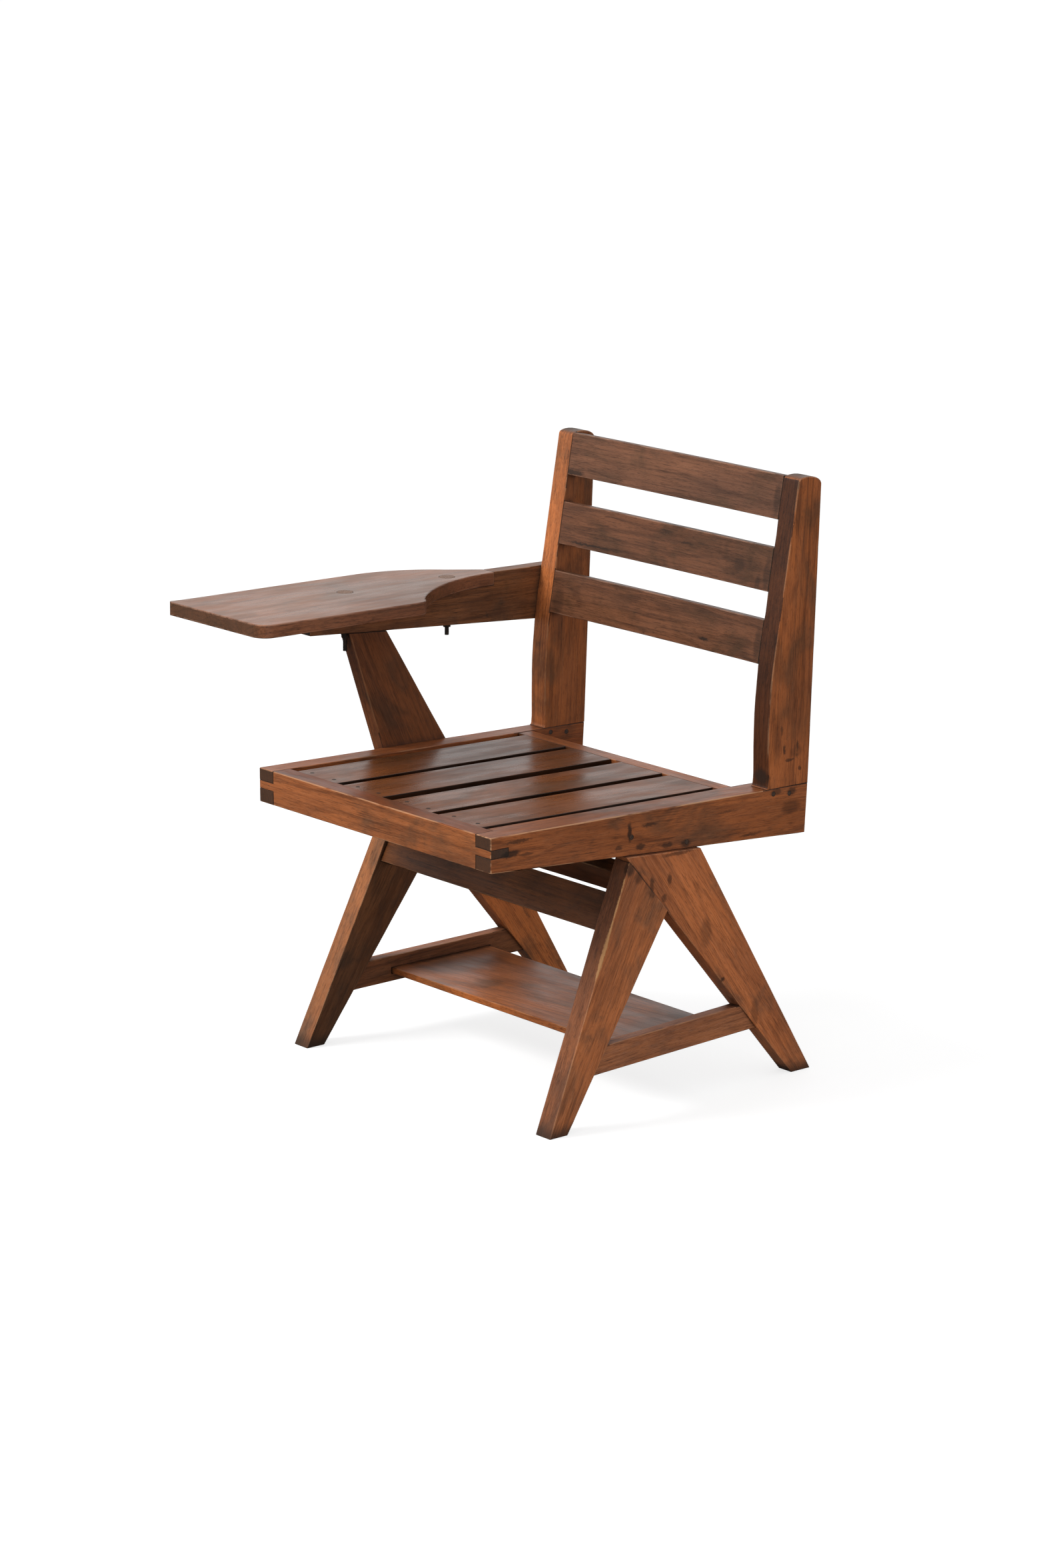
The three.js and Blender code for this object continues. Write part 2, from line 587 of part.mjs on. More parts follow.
// A screw with a domed head, driven along +X from the outside of the arm or its support.
function coachScrew([y, z], grow) {
  const { headRadius, headHeight, radius, length } = COACH_SCREW;
  const profile = [
    [0, -headHeight], [0.72 * headRadius, -0.72 * headHeight], [headRadius, -1.2], [headRadius, 0], [0, 0],
  ].map(([r, h]) => new THREE.Vector2(r, h));
  const head = new THREE.LatheGeometry(profile, 16).rotateZ(-Math.PI / 2);
  const tip = -ARM_OUTER + length - headHeight + 2 * grow;
  const shank = barAlongX(radius + grow, y, z, -ARM_OUTER - GAP - 1, tip, 12);
  return grow ? shank : join(head.translate(-ARM_OUTER - GAP, y, z), shank);
}
const screwHoles = (places) => Object.values(places).map((place) => coachScrew(place, GAP));

// The arm is a tapering board on the outer face of the post. Its front part is stepped down to carry
// the tablet.
function armRail() {
  const floor = (y) => ARM.top - TABLET_THICKNESS + TABLET_SLOPE * (ARM.step - y);
  const board = sideBoard([
    [ARM.front, armBottom(ARM.front)], [ARM.back, armBottom(ARM.back)], [ARM.back, ARM.backTop],
    [ARM.step, ARM.top], [ARM.step, floor(ARM.step)], [ARM.front, floor(ARM.front)],
  ], -ARM_OUTER, -SEAT_HALF_WIDTH - GAP);
  const boltHoles = ['front', 'rear'].map((place) => placed(boltBar(place, GAP), tabletFrame));
  return cut(board, supportTenon(GAP), ...boltHoles, ...screwHoles(ARM_SCREWS));
}

function armSupport() {
  const meetArm = (edge) => {
    let z = armBottom(-80);
    for (let step = 0; step < 20; step += 1) z = armBottom(edge(z)) - GAP;
    return [edge(z), z];
  };
  const board = sideBoard([
    [supportFront(SUPPORT.low), SUPPORT.low], [supportBack(SUPPORT.low), SUPPORT.low],
    meetArm(supportBack), meetArm(supportFront),
  ], -ARM_OUTER, -SEAT_HALF_WIDTH - GAP);
  const nutSpace = barAlongZ(NUT.radius + 2, BOLT.x, BOLT_PLACES.front, BOLT.tip, nutTop('front') + 5);
  const holes = [placed(nutSpace, tabletFrame), ...screwHoles(SUPPORT_SCREWS)];
  return cut(join(board, supportTenon(0)), ...holes);
}

// ---------------------------------------------------------------- the whole chair

for (const [side, sign] of SIDES) {
  const rail = onSide(sideRail(sign > 0 ? LEFT_RAIL_INNER : RAIL_INNER), sign);
  const post = onSide(backPost(), sign);
  add(`seat_rail_${side}`, sign > 0 ? rail : cut(rail, ...screwHoles(SUPPORT_SCREWS)), FRAME_WOOD);
  add(`back_post_${side}`, sign > 0 ? post : cut(post, ...screwHoles(ARM_SCREWS)), FRAME_WOOD);
  add(`front_leg_${side}`, onSide(frontLeg(), sign), LEG_WOOD);
  add(`rear_leg_${side}`, onSide(rearLeg(), sign), LEG_WOOD);
  const stretcher = add(`side_stretcher_${side}`, onSide(sideStretcher(), sign), LEG_WOOD);
  stretcher.position.set(sign * STRETCHER.middle, STRETCHER.middleY, 0);
  stretcher.rotation.z = sign * STRETCHER.turn;
  for (const place of ['front', 'rear']) {
    add(`post_peg_${side}_${place}`, onSide(pegBar(POST_PEGS[place], 0), sign), PLUG_WOOD);
    add(`leg_peg_${side}_${place}`, onSide(pegBar(LEG_PEGS[place], 0), sign), PLUG_WOOD);
  }
}

add('seat_rail_front', frontRail(), FRAME_WOOD);
add('seat_rail_rear', rearRail(), FRAME_WOOD);
const nailHoles = SLAT_SIDES.flatMap(nailPlaces).map((place) => nail(place, GAP));
add('seat_cleat_front', cut(cleat(FRONT_RAIL.back + GAP), ...nailHoles), FRAME_WOOD);
add('seat_cleat_rear', cleat(REAR_RAIL.front - GAP - CLEAT.depth), FRAME_WOOD);
SLAT_SIDES.forEach((sides, i) => {
  add(`seat_slat_${i + 1}`, seatSlat(sides), SEAT_WOOD);
  for (const place of nailPlaces(sides)) add(`slat_${i + 1}_nail_${place[0]}`, nail(place, 0), STEEL);
});

['bottom', 'middle', 'top'].forEach((name, row) => {
  add(`back_slat_${name}`, backSlat(row), BACK_WOOD, backFrame);
});
add('front_cross_rail', frontCrossRail(0), LEG_WOOD, frontCrossFrame);
add('rear_cross_rail', rearCrossRail(0), LEG_WOOD, rearCrossFrame);
add('book_shelf', bookShelf(), SHELF_WOOD);

add('arm_rail', armRail(), FRAME_WOOD);
add('arm_support', armSupport(), FRAME_WOOD);
add('writing_tablet', writingTablet(), TABLET_WOOD, tabletFrame);
for (const place of ['front', 'rear']) {
  add(`tablet_bolt_${place}`, boltBar(place, 0), STEEL, tabletFrame);
  add(`tablet_nut_${place}`, nut(place), STEEL, tabletFrame);
  add(`tablet_plug_${place}`, plugDisc(place, 0), PLUG_WOOD, tabletFrame);
}
for (const [place, point] of Object.entries(ARM_SCREWS)) {
  add(`arm_screw_${place}`, coachScrew(point, 0), STEEL);
}
for (const [place, point] of Object.entries(SUPPORT_SCREWS)) {
  add(`support_screw_${place}`, coachScrew(point, 0), STEEL);
}

const extent = new THREE.Box3().setFromObject(chair, true);
chair.position.set(-(extent.min.x + extent.max.x) / 2, -(extent.min.y + extent.max.y) / 2, -extent.min.z);

export default chair;
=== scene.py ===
# The looks of the student desk chair: every wooden board is rebuilt from its CAD solid with worn,
# slightly uneven arrises, and gets a procedural wood that runs along its own length.
import json
import math
import random

import bmesh
import bpy
import numpy as np
from mathutils import Matrix, Vector, noise
from mathutils.bvhtree import BVHTree


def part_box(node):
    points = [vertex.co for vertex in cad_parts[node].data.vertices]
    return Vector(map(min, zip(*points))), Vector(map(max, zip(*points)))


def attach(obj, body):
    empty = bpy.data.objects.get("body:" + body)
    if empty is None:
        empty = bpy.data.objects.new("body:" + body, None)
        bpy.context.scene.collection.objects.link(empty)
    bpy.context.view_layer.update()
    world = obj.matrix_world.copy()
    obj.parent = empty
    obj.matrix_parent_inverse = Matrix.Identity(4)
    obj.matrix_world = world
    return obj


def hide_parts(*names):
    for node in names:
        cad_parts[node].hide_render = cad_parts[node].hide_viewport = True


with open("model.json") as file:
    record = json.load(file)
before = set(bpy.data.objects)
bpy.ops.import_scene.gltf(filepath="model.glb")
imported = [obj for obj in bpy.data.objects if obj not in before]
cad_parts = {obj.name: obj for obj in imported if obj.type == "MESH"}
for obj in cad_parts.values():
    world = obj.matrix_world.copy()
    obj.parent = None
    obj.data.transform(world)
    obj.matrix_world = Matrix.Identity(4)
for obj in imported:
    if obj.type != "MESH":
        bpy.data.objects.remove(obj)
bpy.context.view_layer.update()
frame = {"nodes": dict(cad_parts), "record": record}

# The chair's middle plane stands this far from the frame's origin, in metres.
CHAIR_SHIFT = Vector((0.0380, 0.02248, 0.0))

nodes = frame["nodes"]
slot_of = {s["node"]: s["material_slot"] for s in frame["record"]["subparts"]}
MM = 0.001


# ------------------------------------------------------------------ materials

class Tree:
    """A short way to write a material's nodes. Every method returns a socket."""

    def __init__(self, name):
        self.material = bpy.data.materials.new(name)
        self.material.use_nodes = True
        self.tree = self.material.node_tree
        self.shader = self.tree.nodes["Principled BSDF"]

    def set(self, socket, value):
        if isinstance(value, bpy.types.NodeSocket):
            self.tree.links.new(value, socket)
        elif value is not None:
            socket.default_value = value

    def node(self, kind, **settings):
        made = self.tree.nodes.new(kind)
        for key, value in settings.items():
            setattr(made, key, value)
        return made

    def math(self, operation, a, b=None, c=None, clamp=False):
        made = self.node("ShaderNodeMath", operation=operation, use_clamp=clamp)
        for socket, value in zip(made.inputs, (a, b, c)):
            self.set(socket, value)
        return made.outputs[0]

    def vector(self, operation, a, b):
        made = self.node("ShaderNodeVectorMath", operation=operation)
        self.set(made.inputs[0], a)
        self.set(made.inputs[1], b)
        return made.outputs[0]

    def length(self, a):
        made = self.node("ShaderNodeVectorMath", operation="LENGTH")
        self.set(made.inputs[0], a)
        return made.outputs["Value"]

    def split(self, a):
        """The three parts of a vector."""
        made = self.node("ShaderNodeSeparateXYZ")
        self.set(made.inputs[0], a)
        return made.outputs

    def place(self):
        """The point that is shaded, in the frame's metres."""
        return self.node("ShaderNodeTexCoord").outputs["Object"]

    def attribute(self, name, output="Fac"):
        return self.node("ShaderNodeAttribute", attribute_name=name).outputs[output]

    def noise(self, position, scale, detail=3.0, rough=0.55, distortion=0.0, output="Fac"):
        made = self.node("ShaderNodeTexNoise")
        self.set(made.inputs["Vector"], self.vector("MULTIPLY", position, scale))
        made.inputs["Scale"].default_value = 1.0
        made.inputs["Detail"].default_value = detail
        made.inputs["Roughness"].default_value = rough
        made.inputs["Distortion"].default_value = distortion
        return made.outputs[output]

    def ramp(self, value, low, high, out_low=0.0, out_high=1.0, smooth=True):
        made = self.node("ShaderNodeMapRange", interpolation_type="SMOOTHSTEP" if smooth else "LINEAR")
        for socket, item in zip(made.inputs, (value, low, high, out_low, out_high)):
            self.set(socket, item)
        return made.outputs[0]

    def mix(self, factor, a, b, blend="MIX"):
        made = self.node("ShaderNodeMix", data_type="RGBA", blend_type=blend)
        for index, value in ((0, factor), (6, a), (7, b)):
            if isinstance(value, tuple) and len(value) == 3:
                value = (*value, 1.0)
            self.set(made.inputs[index], value)
        return made.outputs[2]

    def bump(self, height, strength, distance, normal=None):
        made = self.node("ShaderNodeBump")
        made.inputs["Strength"].default_value = strength
        made.inputs["Distance"].default_value = distance
        self.set(made.inputs["Height"], height)
        if normal is not None:
            self.set(made.inputs["Normal"], normal)
        return made.outputs[0]


def ragged(t, place, scale, amount):
    """The place, shaken by a noise of this scale and by up to half of this amount each way."""
    shake = t.noise(place, scale, detail=4.0, rough=0.7, output="Color")
    shake = t.vector("MULTIPLY", t.vector("SUBTRACT", shake, (0.5, 0.5, 0.5)), amount)
    return t.vector("ADD", place, shake)


def blob(t, place, middle, radii, full, gone, strength):
    """An ellipsoid with radii in millimetres: full inside one share of them and gone beyond the other."""
    offset = t.vector("SUBTRACT", place, middle)
    offset = t.vector("MULTIPLY", offset, tuple(1000.0 / r for r in radii))
    return t.ramp(t.length(offset), full, gone, strength, 0.0)


def smudges(t, marks):
    """Ragged dark marks. Each is (middle, radii, strength), in the chair's own millimetres."""
    place = ragged(t, t.place(), (150.0, 150.0, 150.0), (0.008, 0.008, 0.008))
    total = 0.0
    for middle, radii, strength in marks:
        middle = Vector(middle) * MM + CHAIR_SHIFT
        mark = blob(t, place, middle, radii, 0.55, 1.2, min(1.0, 1.15 * strength))
        total = t.math("MAXIMUM", total, mark)
    return total


# The left front leg has lost a long splinter from its outer front arris, which runs through this point
# with these slopes for each unit of height. The bare wood is wide at the bottom and thin further up:
# two parts, each with its middle in metres from that point and its radii in millimetres.
SPLINTER = {"point": (0.2648, -0.0890, 0.245), "slope": (-0.0643, 0.4503)}
SPLINTER_PARTS = (
    ((0.000, 0.000, -0.012), (4.2, 3.4, 40.0)),
    ((0.000, -0.001, 0.045), (1.7, 2.2, 62.0)),
)


def splinter(t):
    """How bare the wood is there: a ragged streak that follows the leg's arris."""
    place = ragged(t, t.place(), (420.0, 420.0, 60.0), (0.006, 0.006, 0.0))
    x, y, z = t.split(t.vector("SUBTRACT", place, Vector(SPLINTER["point"]) + CHAIR_SHIFT))
    lean_x, lean_y = SPLINTER["slope"]
    upright = t.node("ShaderNodeCombineXYZ")
    t.set(upright.inputs[0], t.math("SUBTRACT", x, t.math("MULTIPLY", z, lean_x)))
    t.set(upright.inputs[1], t.math("SUBTRACT", y, t.math("MULTIPLY", z, lean_y)))
    t.set(upright.inputs[2], z)
    total = 0.0
    for middle, radii in SPLINTER_PARTS:
        total = t.math("MAXIMUM", total, blob(t, upright.outputs[0], middle, radii, 0.75, 1.1, 1.0))
    return total


PATINA = (0.105, 0.052, 0.027)
STAIN = (0.045, 0.028, 0.018)
END_GRAIN = (0.042, 0.028, 0.019)
MARK = (0.022, 0.013, 0.009)
FOOT_DIRT = (0.030, 0.018, 0.012)
BARE_LIGHT, BARE_DARK = (0.62, 0.33, 0.14), (0.38, 0.17, 0.065)
SEAM = (0.032, 0.020, 0.013)
# The colour of the painted shade in corners, creases and gaps.
CORNER_SHADE = (0.018, 0.010, 0.007)
DUST_AND_SHEEN = (0.22, 0.15, 0.115)
RING_WIDTH = 6.5 * MM
CORNER_SHADE_REACH = 16 * MM  # how near another surface has to be for the painted shade in corners to show


def wood(name, light, dark, line, worn, rough=0.42, gloss=0.25, dust_and_sheen=0.0, streak=0.42, figure=0.4,
         marks=(), feet=False, end_dark=0.88):
    """Old oiled teak. Grain coordinates are metres along, across and through the board."""
    t = Tree(name)
    p = t.attribute("grain", "Vector")
    end = t.attribute("end_grain")
    wear = t.attribute("wear")
    seam = t.attribute("seam")
    tone_and_shade = t.attribute("tone_and_shade", "Vector")

    bend = t.noise(p, (2.2, 13.0, 13.0), detail=2.0)
    drift = t.noise(p, (7.0, 60.0, 60.0), detail=2.0)
    _, across, through = t.split(p)
    layer = t.math("ADD", through, t.math("MULTIPLY", across, 0.22))
    layer = t.math("ADD", layer, t.math("MULTIPLY", bend, 0.05))
    layer = t.math("ADD", layer, t.math("MULTIPLY", drift, 0.0025))
    wave = t.math("SINE", t.math("MULTIPLY", layer, 2 * math.pi / RING_WIDTH))
    growth = t.ramp(t.noise(p, (9.0, 30.0, 30.0)), 0.35, 0.62, 0.25, 1.0)
    growth = t.math("MULTIPLY", t.ramp(wave, 0.35, 1.0), growth)

    streaks = t.noise(p, (5.0, 260.0, 260.0), detail=4.0, rough=0.6)
    fibre = t.noise(p, (38.0, 1300.0, 1300.0), detail=2.0, rough=0.7)
    pores = t.ramp(t.noise(p, (45.0, 1100.0, 1100.0), detail=1.0), 0.60, 0.68)
    dashes = t.ramp(t.noise(p, (110.0, 950.0, 950.0), detail=2.0, rough=0.6), 0.59, 0.64)
    thin = t.math("ABSOLUTE", t.math("SUBTRACT", t.noise(p, (3.5, 170.0, 170.0), detail=5.0, rough=0.6), 0.5))
    lines = t.ramp(t.noise(p, (13.0, 50.0, 50.0)), 0.42, 0.6)
    lines = t.math("MULTIPLY", t.ramp(thin, 0.0, 0.035, 1.0, 0.0), lines)
    patches = t.noise(p, (3.5, 14.0, 14.0), detail=3.0, rough=0.5)
    patina = t.ramp(t.noise(p, (9.0, 13.0, 13.0), detail=4.0, rough=0.6, distortion=0.8), 0.47, 0.72)
    stains = t.ramp(t.noise(p, (30.0, 45.0, 45.0), detail=7.0, rough=0.75), 0.62, 0.72)

    colour = t.mix(t.math("MULTIPLY", t.ramp(patches, 0.30, 0.72), 0.75), light, dark)
    colour = t.mix(t.math("MULTIPLY", t.ramp(streaks, 0.42, 0.72), streak), colour, line)
    colour = t.mix(t.math("MULTIPLY", growth, figure), colour, line)
    colour = t.mix(t.math("MULTIPLY", patina, 0.70), colour, PATINA)
    colour = t.mix(t.math("MULTIPLY", pores, 0.45), colour, tuple(0.45 * c for c in line))
    colour = t.mix(t.math("MULTIPLY", t.ramp(fibre, 0.45, 0.8), 0.16), colour, worn)
    colour = t.mix(t.math("MULTIPLY", lines, 0.50), colour, tuple(0.5 * c for c in line))
    colour = t.mix(t.math("MULTIPLY", dashes, 0.34), colour, tuple(0.4 * c for c in line))
    colour = t.mix(t.math("MULTIPLY", stains, 0.62), colour, STAIN)
    colour = t.mix(t.math("MULTIPLY", end, end_dark), colour, END_GRAIN)
    # The board's tone, with painted light and shade laid on by board and by side.
    colour = t.mix(1.0, colour, tone_and_shade, "MULTIPLY")
    rubbed = t.math("MULTIPLY", wear, t.ramp(t.noise(p, (22.0, 90.0, 90.0), detail=3.0), 0.40, 0.55))
    colour = t.mix(t.math("MULTIPLY", rubbed, 0.85), colour, worn)
    if marks:
        colour = t.mix(smudges(t, marks), colour, MARK)
    if feet:
        low = t.math("SUBTRACT", t.split(t.place())[2], t.math("MULTIPLY", patches, 0.012))
        colour = t.mix(t.ramp(low, -0.004, 0.016, 0.75, 0.0), colour, FOOT_DIRT)
        colour = t.mix(splinter(t), colour, t.mix(streaks, BARE_LIGHT, BARE_DARK))
    colour = t.mix(t.math("MULTIPLY", seam, 0.70), colour, SEAM)
    # Painted shade: the colour darkens wherever another surface is near, in corners, creases and the gaps
    # between parts, and the wood is made rougher there.
    closeness = t.node("ShaderNodeAmbientOcclusion", samples=6)
    closeness.inputs["Distance"].default_value = CORNER_SHADE_REACH
    corner_shade = t.ramp(closeness.outputs["AO"], 0.30, 0.90, 0.85, 0.0)
    corner_shade = t.math("MULTIPLY", corner_shade, t.ramp(t.noise(p, (40.0, 60.0, 60.0), detail=3.0), 0.3, 0.6, 0.5, 1.0))
    colour = t.mix(corner_shade, colour, CORNER_SHADE)
    # Dust on the upward faces. Its pale greyish haze also paints part of the sheen that the tops show.
    if dust_and_sheen:
        upward = t.split(t.node("ShaderNodeNewGeometry").outputs["Normal"])[2]
        top = t.ramp(upward, 0.7, 1.0, 0.0, dust_and_sheen)
        haze_and_sheen = t.math("MULTIPLY", top, t.ramp(t.noise(p, (5.0, 16.0, 16.0), detail=4.0), 0.3, 0.7, 0.45, 1.0))
        colour = t.mix(haze_and_sheen, colour, DUST_AND_SHEEN)
    t.set(t.shader.inputs["Base Color"], colour)

    sheen_spots = t.noise(p, (9.0, 40.0, 40.0), detail=4.0)
    roughness = t.ramp(sheen_spots, 0.3, 0.7, rough - 0.07, rough + 0.12)
    roughness = t.math("ADD", roughness, t.math("MULTIPLY", corner_shade, 0.3))
    t.set(t.shader.inputs["Roughness"], roughness)
    t.shader.inputs["Specular IOR Level"].default_value = gloss
    relief = t.math("SUBTRACT", t.math("MULTIPLY", streaks, 0.6), t.math("MULTIPLY", pores, 0.15))
    relief = t.math("ADD", relief, t.math("MULTIPLY", growth, -0.15))
    knocks = t.noise(p, (26.0, 70.0, 70.0), detail=3.0)
    normal = t.bump(knocks, 0.3, 0.6 * MM)
    t.set(t.shader.inputs["Normal"], t.bump(relief, 0.45, 0.3 * MM, normal))
    return t.material


FADED_FROM, FADED_ABOVE = 0.55, 0.60  # heights between the pegs of the posts and the plugs of the tablet


def plug_wood(name):
    """End grain of pegs and plugs, dark in the rails and faded up on the tablet."""
    t = Tree(name)
    p = t.place()
    blotch = t.noise(p, (420.0, 420.0, 420.0), detail=3.0)
    pore = t.ramp(t.noise(p, (2200.0, 2200.0, 2200.0), detail=1.0), 0.56, 0.7)
    colour = t.mix(t.ramp(blotch, 0.3, 0.7), (0.075, 0.040, 0.024), (0.032, 0.018, 0.012))
    colour = t.mix(t.math("MULTIPLY", pore, 0.6), colour, (0.008, 0.005, 0.004))
    faded = t.mix(t.ramp(blotch, 0.3, 0.7), (0.25, 0.150, 0.105), (0.15, 0.085, 0.058))
    colour = t.mix(t.ramp(t.split(p)[2], FADED_FROM, FADED_ABOVE), colour, faded)
    t.set(t.shader.inputs["Base Color"], colour)
    t.set(t.shader.inputs["Roughness"], t.ramp(blotch, 0.3, 0.7, 0.5, 0.75))
    t.set(t.shader.inputs["Normal"], t.bump(pore, 0.4, 0.2 * MM))
    return t.material


def steel(name):
    """Blackened steel with brown rust in patches."""
    t = Tree(name)
    p = t.place()
    rust = t.ramp(t.noise(p, (330.0, 330.0, 330.0), detail=4.0), 0.48, 0.66)
    grit = t.noise(p, (2600.0, 2600.0, 2600.0), detail=2.0)
    colour = t.mix(rust, (0.030, 0.025, 0.021), (0.055, 0.030, 0.018))
    t.set(t.shader.inputs["Base Color"], colour)
    t.set(t.shader.inputs["Metallic"], t.ramp(rust, 0.0, 1.0, 0.6, 0.1))
    t.set(t.shader.inputs["Roughness"], t.ramp(rust, 0.0, 1.0, 0.52, 0.85))
    t.set(t.shader.inputs["Normal"], t.bump(grit, 0.35, 0.15 * MM))
    return t.material


TEAK = dict(light=(0.50, 0.155, 0.044), dark=(0.25, 0.078, 0.026),
            line=(0.095, 0.028, 0.011), worn=(0.66, 0.36, 0.19))
MAUVE = dict(light=(0.37, 0.140, 0.070), dark=(0.18, 0.072, 0.041),
             line=(0.085, 0.034, 0.020), worn=(0.48, 0.26, 0.17))
# Dark marks: (middle, radii, strength) in the chair's own millimetres.
FRAME_MARKS = (
    ((251, -240, 389), (8, 17, 5), 0.75), ((251, -228, 404), (8, 24, 2.5), 0.6),
    ((251, -214, 384), (8, 12, 3), 0.4), ((251, -38, 384), (8, 4, 15), 0.75),
    ((251, -57, 366), (8, 7, 4), 0.55), ((251, -19, 362), (8, 9, 5), 0.65),
    ((251, 27, 356), (8, 11, 4), 0.6), ((251, 60, 353), (8, 10, 6), 0.6),
    ((251, -4, 389), (8, 15, 2.5), 0.6), ((251, 176, 346), (8, 22, 2.2), 0.5),
    ((251, 248, 372), (8, 18, 11), 0.45), ((251, 135, 384), (8, 24, 1.8), 0.4),
    ((251, 222, 397), (8, 11, 5), 0.55), ((251, 250, 394), (8, 9, 5.5), 0.6),
    ((251, 258, 448), (8, 12, 9), 0.3), ((251, 236, 453), (8, 3, 7), 0.65),
    ((251, 260, 455), (8, 2.2, 9), 0.6), ((251, 246, 438), (8, 9, 2.2), 0.6),
    ((251, 264, 424), (8, 3, 3), 0.6), ((251, 231, 480), (8, 2, 8), 0.45),
    ((251, 222, 470), (8, 9, 40), 0.2), ((238, 206, 418), (16, 8, 12), 0.8),
    ((-225, 228, 560), (16, 14, 50), 0.3),
)
LEG_MARKS = (
    ((259, -5, 307), (10, 4, 14), 0.55), ((259, 16, 287), (10, 5, 6), 0.5),
    ((259, 26, 311), (10, 4, 9), 0.55), ((259, -44, 336), (10, 8, 10), 0.6),
    ((259, -30, 322), (10, 8, 9), 0.45), ((259, -8, 297), (10, 7, 7), 0.45),
    ((262, 119, 156), (10, 4, 4), 0.7), ((262, 177, 97), (10, 7, 20), 0.35),
    ((262, 89, 225), (10, 12, 22), 0.3), ((259, 40, 344), (10, 30, 3), 0.5),
    ((-232, 20, 250), (30, 20, 30), 0.3), ((-262, 90, 200), (30, 9, 22), 0.45),
)
BACK_MARKS = (
    ((-207, 249, 767), (22, 12, 4), 0.7), ((-190, 247, 758), (30, 12, 3), 0.5),
    ((-150, 232, 672), (60, 12, 1.8), 0.7), ((-196, 229, 664), (20, 12, 2.5), 0.7),
    ((-100, 234, 688), (26, 12, 1.8), 0.45), ((153, 236, 693), (14, 12, 10), 0.4),
    ((196, 236, 672), (6, 12, 14), 0.4), ((100, 217, 583), (12, 12, 3), 0.8),
    ((-3, 240, 714), (16, 12, 3), 0.45), ((40, 240, 704), (18, 12, 2), 0.5),
    ((103, 229, 650), (20, 12, 4), 0.35), ((-205, 215, 590), (14, 12, 22), 0.45),
    ((213, 220, 595), (8, 12, 24), 0.45), ((213, 236, 690), (8, 12, 24), 0.45),
    ((213, 252, 790), (8, 12, 24), 0.45),
)
SHELF_MARKS = (
    ((-215, 40, 90), (60, 90, 30), 0.45), ((215, 70, 90), (50, 90, 30), 0.45),
    ((20, 118, 92), (240, 12, 12), 0.35),
)
# The first, wide mark is painted shade: it darkens the middle of the tablet's top so that its front looks
# brighter with sheen. The others are small dark marks on the wood.
TABLET_MARKS_AND_SHADE = (
    ((-235, -70, 634), (95, 110, 30), 0.25), ((-271, -138, 634), (3, 3, 8), 0.6),
    ((-306, -53, 634), (4, 4, 8), 0.6), ((-200, -210, 636), (14, 2, 8), 0.35),
)
MATERIALS = {
    "frame_wood": wood("frame_wood", **TEAK, rough=0.36, gloss=0.35, marks=FRAME_MARKS),
    "seat_wood": wood("seat_wood", **MAUVE, rough=0.28, gloss=0.38, streak=0.4, figure=0.3),
    "back_wood": wood("back_wood", **MAUVE, rough=0.36, gloss=0.35, streak=0.5, figure=0.5,
                      marks=BACK_MARKS),
    "leg_wood": wood("leg_wood", **TEAK, rough=0.45, figure=0.3, marks=LEG_MARKS, feet=True),
    "shelf_wood": wood("shelf_wood", **TEAK, rough=0.36, gloss=0.4, dust_and_sheen=0.15, marks=SHELF_MARKS),
    "tablet_wood": wood("tablet_wood", **MAUVE, rough=0.30, gloss=0.5, dust_and_sheen=0.4, marks=TABLET_MARKS_AND_SHADE,
                        end_dark=0.68),
    "plug_wood": plug_wood("plug_wood"),
    "steel": steel("steel"),
}

# How much each board departs from its material's colour: red, green and blue factors. A board takes the
# first entry that its name starts with. Besides each board's own tone, these factors paint light and shade:
# the back slats, arm rails, arm supports and cross rails are darkened as painted shade, and the legs and
# stretchers are lightened as painted light from low down.
BOARD_TONE_AND_SHADE = {
    "seat_rail_front": (0.92, 0.92, 0.96),
    "seat_rail": (0.90, 0.86, 0.86),
    "seat_slat": (0.60, 0.48, 0.26),
    "back_post_left": (1.00, 0.94, 0.90),
    "back_post_right": (0.98, 0.92, 0.82),
    "back_slat_top": (0.60, 0.65, 0.65),
    "back_slat": (0.47, 0.48, 0.45),
    "arm_rail": (0.58, 0.70, 0.88),
    "arm_support": (0.58, 0.60, 0.64),
    "front_leg_right": (0.94, 1.08, 1.26),
    "front_leg_left": (1.10, 1.12, 1.25),
    "rear_leg_right": (1.30, 1.22, 1.10),
    "rear_leg": (1.24, 1.24, 1.38),
    "front_cross_rail": (0.38, 0.39, 0.38),
    "rear_cross_rail": (0.34, 0.36, 0.38),
    "book_shelf": (1.08, 1.00, 0.84),
    "side_stretcher": (0.92, 1.06, 1.45),
    "writing_tablet": (0.93, 0.88, 0.76),
}
# And how much one side of a board departs from the rest of it: painted light and shade by the way each side
# faces. The slats' sides and the rails' inner faces in the seat's gaps, the legs' front and inner faces, the
# near post's front, a stretcher's inner face and the rails' tops are painted darker, the far post's front
# lighter.
SIDE_LIGHT_AND_SHADE = {
    ("back_post_left", "front"): (0.18, 0.19, 0.24),
    ("back_post_right", "front"): (1.16, 1.22, 1.35),
    ("front_leg_left", "front"): (0.54, 0.58, 0.68),
    ("front_leg_right", "left"): (0.46, 0.50, 0.56),
    ("rear_leg_right", "front"): (0.60, 0.60, 0.60),
    ("side_stretcher_right", "left"): (0.60, 0.58, 0.52),
    ("seat_rail_front", "top"): (0.58, 0.43, 0.22),
    ("seat_rail_left", "top"): (0.72, 0.72, 0.74),
    ("seat_slat", "left"): (0.20, 0.20, 0.20),
    ("seat_slat", "right"): (0.20, 0.20, 0.20),
    ("seat_rail_left", "right"): (0.30, 0.30, 0.30),
    ("seat_rail_right", "left"): (0.95, 0.88, 0.80),
}
